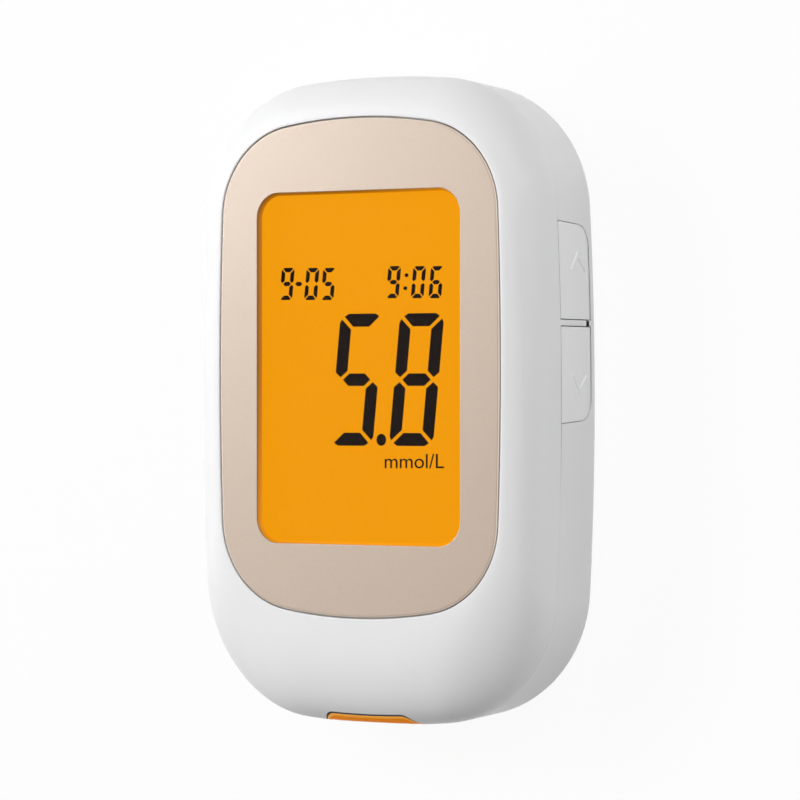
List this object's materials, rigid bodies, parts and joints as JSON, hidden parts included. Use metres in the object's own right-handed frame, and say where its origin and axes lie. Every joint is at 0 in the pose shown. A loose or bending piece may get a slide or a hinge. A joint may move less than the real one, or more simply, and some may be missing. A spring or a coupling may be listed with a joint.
{
  "type": "blood glucose meter",
  "caption": "Handheld blood glucose meter: a rounded white housing with a champagne panel round an amber display, side keys, a strip port at its lower end and a battery door at the back.",
  "frame": {"origin": "on the ground under the middle of the body, which lies on its back", "axes": "+X to the side with the keys, +Y to the top end, away from the strip port, +Z out of the display"},
  "size_m": [0.0624, 0.0964, 0.021],
  "materials": {
    "shell_white": "smooth moulded, soft gloss",
    "panel_champagne": "fine satin champagne coating with a bright edge",
    "trim_amber": "moulded, soft gloss",
    "lens_clear": "clear, polished",
    "display_amber": "amber backlit display behind polarised glass",
    "guide_clear": "clear with a dotted back",
    "carrier_white": "plain moulded",
    "strip_rubber": "striped conductive rubber",
    "board_green": "solder mask over copper tracks",
    "chip_black": "moulded resin",
    "part_steel": "nickel plated",
    "contact_gold": "gold plated spring strip",
    "port_orange": "moulded, soft gloss",
    "key_white": "smooth moulded, soft gloss",
    "cell_film": "printed film over a metal can"
  },
  "bodies": {
    "housing": {"front_shell": "shell_white", "rear_shell": "shell_white", "face_panel": "panel_champagne", "window_trim": "trim_amber", "window_lens": "lens_clear", "display_glass": "display_amber", "light_guide": "guide_clear", "display_frame": "carrier_white", "strip_socket": "carrier_white", "backlight_lamp": "carrier_white", "contact_strip": "strip_rubber", "main_board": "board_green", "processor_chip": "chip_black", "amplifier_chip": "chip_black", "buzzer": "chip_black", "key_switch_up": "chip_black", "key_switch_down": "chip_black", "clock_crystal": "part_steel", "spring_left": "part_steel", "spring_right": "part_steel", "contact_plate_left": "part_steel", "contact_plate_right": "part_steel", "contact_bridge": "part_steel", "housing_screw_upper_left": "part_steel", "housing_screw_upper_right": "part_steel", "housing_screw_lower_left": "part_steel", "housing_screw_lower_right": "part_steel", "strip_contact_1": "contact_gold", "strip_contact_2": "contact_gold", "strip_contact_3": "contact_gold", "strip_port": "port_orange", "battery_cell_left": "cell_film", "battery_cell_right": "cell_film"},
    "battery_door": {"battery_door": "shell_white"},
    "key_up": {"key_up": "key_white", "switch_plunger_up": "carrier_white"},
    "key_down": {"key_down": "key_white", "switch_plunger_down": "carrier_white"}
  },
  "joints": [
    {"name": "key_up_press", "type": "slide", "parent": "housing", "child": "key_up", "axis": [-1, 0, 0], "range_m": [0, 0.0006], "stiffness_N_per_m": 1500, "springref_m": -0.0003},
    {"name": "key_down_press", "type": "slide", "parent": "housing", "child": "key_down", "axis": [-1, 0, 0], "range_m": [0, 0.0006], "stiffness_N_per_m": 1500, "springref_m": -0.0003},
    {"name": "battery_door_swing", "type": "hinge", "parent": "housing", "child": "battery_door", "pos_m": [0, 0.0187, 0.0002], "axis": [1, 0, 0], "range_deg": [0, 70]}
  ]
}
